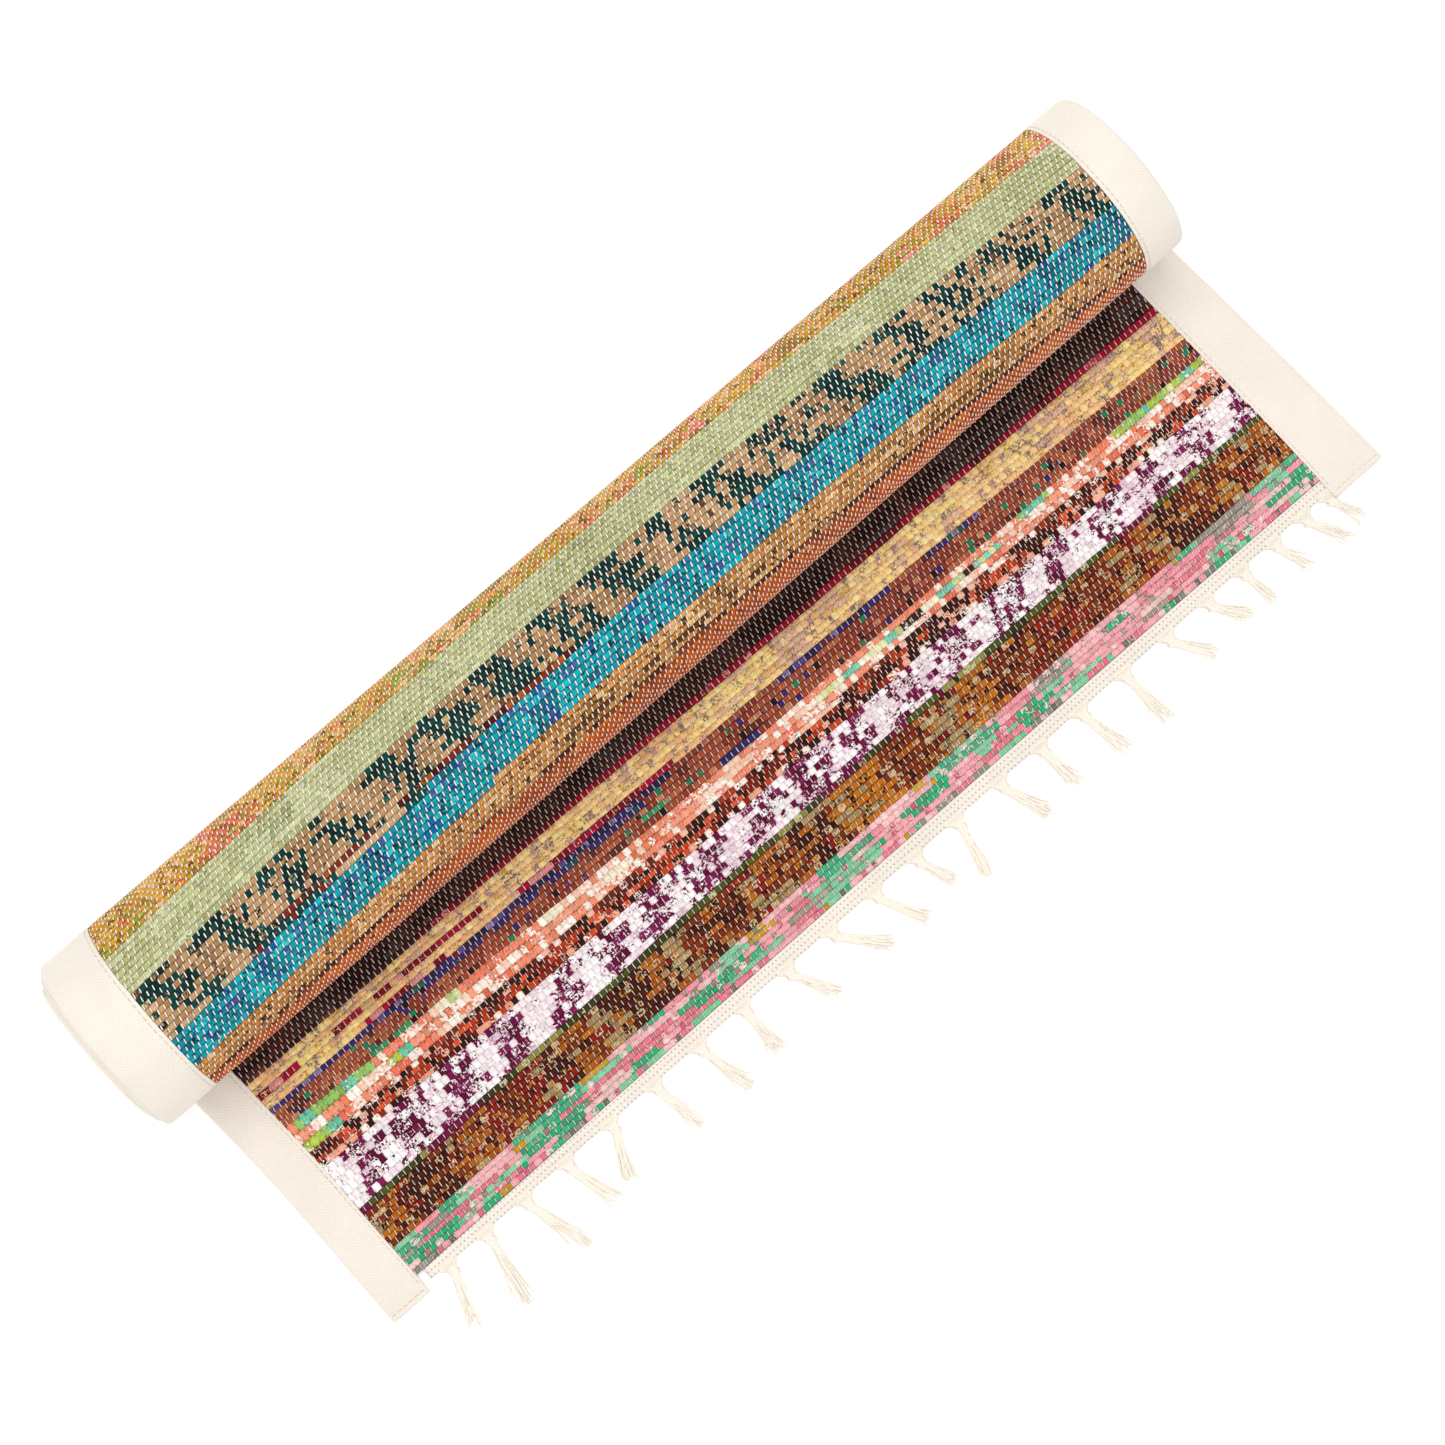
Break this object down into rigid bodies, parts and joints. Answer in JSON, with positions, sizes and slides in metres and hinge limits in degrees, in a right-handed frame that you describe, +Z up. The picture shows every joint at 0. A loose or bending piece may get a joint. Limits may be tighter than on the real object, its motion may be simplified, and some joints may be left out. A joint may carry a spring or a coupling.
{
  "type": "runner rug",
  "caption": "Long narrow rag-woven floor runner with folded canvas side bindings and knotted tassels, rolled up from one end with the other end lying flat.",
  "frame": {"origin": "middle of the bottom of the bounding box, on the floor", "axes": "+X from the roll to the free end, +Y across the rug along the roll's axis, +Z up"},
  "size_m": [0.2588, 0.61, 0.0882],
  "materials": {
    "rag_weave_roll": "plain weave of torn coloured cotton rags over thin cream cotton warps, in narrow bands of mustard, sage, teal, turquoise and tan",
    "rag_weave_free_end": "plain weave of torn coloured cotton rags over thin cream cotton warps, in narrow bands of pink, brown, white, coral, brick and sand",
    "cotton_canvas": "plain cream cotton canvas, folded over the edge and sewn down",
    "cotton_header": "fine cream cotton weft packed over the warps, with two rows of stitching",
    "cotton_warp_yarn": "loose twisted cotton warp ends in overhand knots"
  },
  "bodies": {
    "roll": {"woven_ground_roll": "rag_weave_roll", "left_binding_roll": "cotton_canvas", "right_binding_roll": "cotton_canvas", "inner_end_header": "cotton_header", "inner_end_tassel_01": "cotton_warp_yarn", "inner_end_tassel_02": "cotton_warp_yarn", "inner_end_tassel_03": "cotton_warp_yarn", "inner_end_tassel_04": "cotton_warp_yarn", "inner_end_tassel_05": "cotton_warp_yarn", "inner_end_tassel_06": "cotton_warp_yarn", "inner_end_tassel_07": "cotton_warp_yarn", "inner_end_tassel_08": "cotton_warp_yarn", "inner_end_tassel_09": "cotton_warp_yarn", "inner_end_tassel_10": "cotton_warp_yarn", "inner_end_tassel_11": "cotton_warp_yarn", "inner_end_tassel_12": "cotton_warp_yarn", "inner_end_tassel_13": "cotton_warp_yarn", "inner_end_tassel_14": "cotton_warp_yarn", "inner_end_tassel_15": "cotton_warp_yarn", "inner_end_tassel_16": "cotton_warp_yarn", "inner_end_tassel_17": "cotton_warp_yarn", "inner_end_tassel_18": "cotton_warp_yarn", "inner_end_tassel_19": "cotton_warp_yarn", "inner_end_tassel_20": "cotton_warp_yarn", "inner_end_tassel_21": "cotton_warp_yarn", "inner_end_tassel_22": "cotton_warp_yarn", "inner_end_tassel_23": "cotton_warp_yarn"},
    "free_end": {"woven_ground_free_end": "rag_weave_free_end", "left_binding_free_end": "cotton_canvas", "right_binding_free_end": "cotton_canvas", "free_end_header": "cotton_header", "free_end_tassel_01": "cotton_warp_yarn", "free_end_tassel_02": "cotton_warp_yarn", "free_end_tassel_03": "cotton_warp_yarn", "free_end_tassel_04": "cotton_warp_yarn", "free_end_tassel_05": "cotton_warp_yarn", "free_end_tassel_06": "cotton_warp_yarn", "free_end_tassel_07": "cotton_warp_yarn", "free_end_tassel_08": "cotton_warp_yarn", "free_end_tassel_09": "cotton_warp_yarn", "free_end_tassel_10": "cotton_warp_yarn", "free_end_tassel_11": "cotton_warp_yarn", "free_end_tassel_12": "cotton_warp_yarn", "free_end_tassel_13": "cotton_warp_yarn", "free_end_tassel_14": "cotton_warp_yarn", "free_end_tassel_15": "cotton_warp_yarn", "free_end_tassel_16": "cotton_warp_yarn", "free_end_tassel_17": "cotton_warp_yarn", "free_end_tassel_18": "cotton_warp_yarn", "free_end_tassel_19": "cotton_warp_yarn", "free_end_tassel_20": "cotton_warp_yarn", "free_end_tassel_21": "cotton_warp_yarn", "free_end_tassel_22": "cotton_warp_yarn", "free_end_tassel_23": "cotton_warp_yarn"}
  },
  "joints": [
    {"name": "free_end_lift", "type": "hinge", "parent": "roll", "child": "free_end", "pos_m": [-0.03542, 0, 0.0031], "axis": [0, -1, 0], "range_deg": [0, 90]}
  ]
}
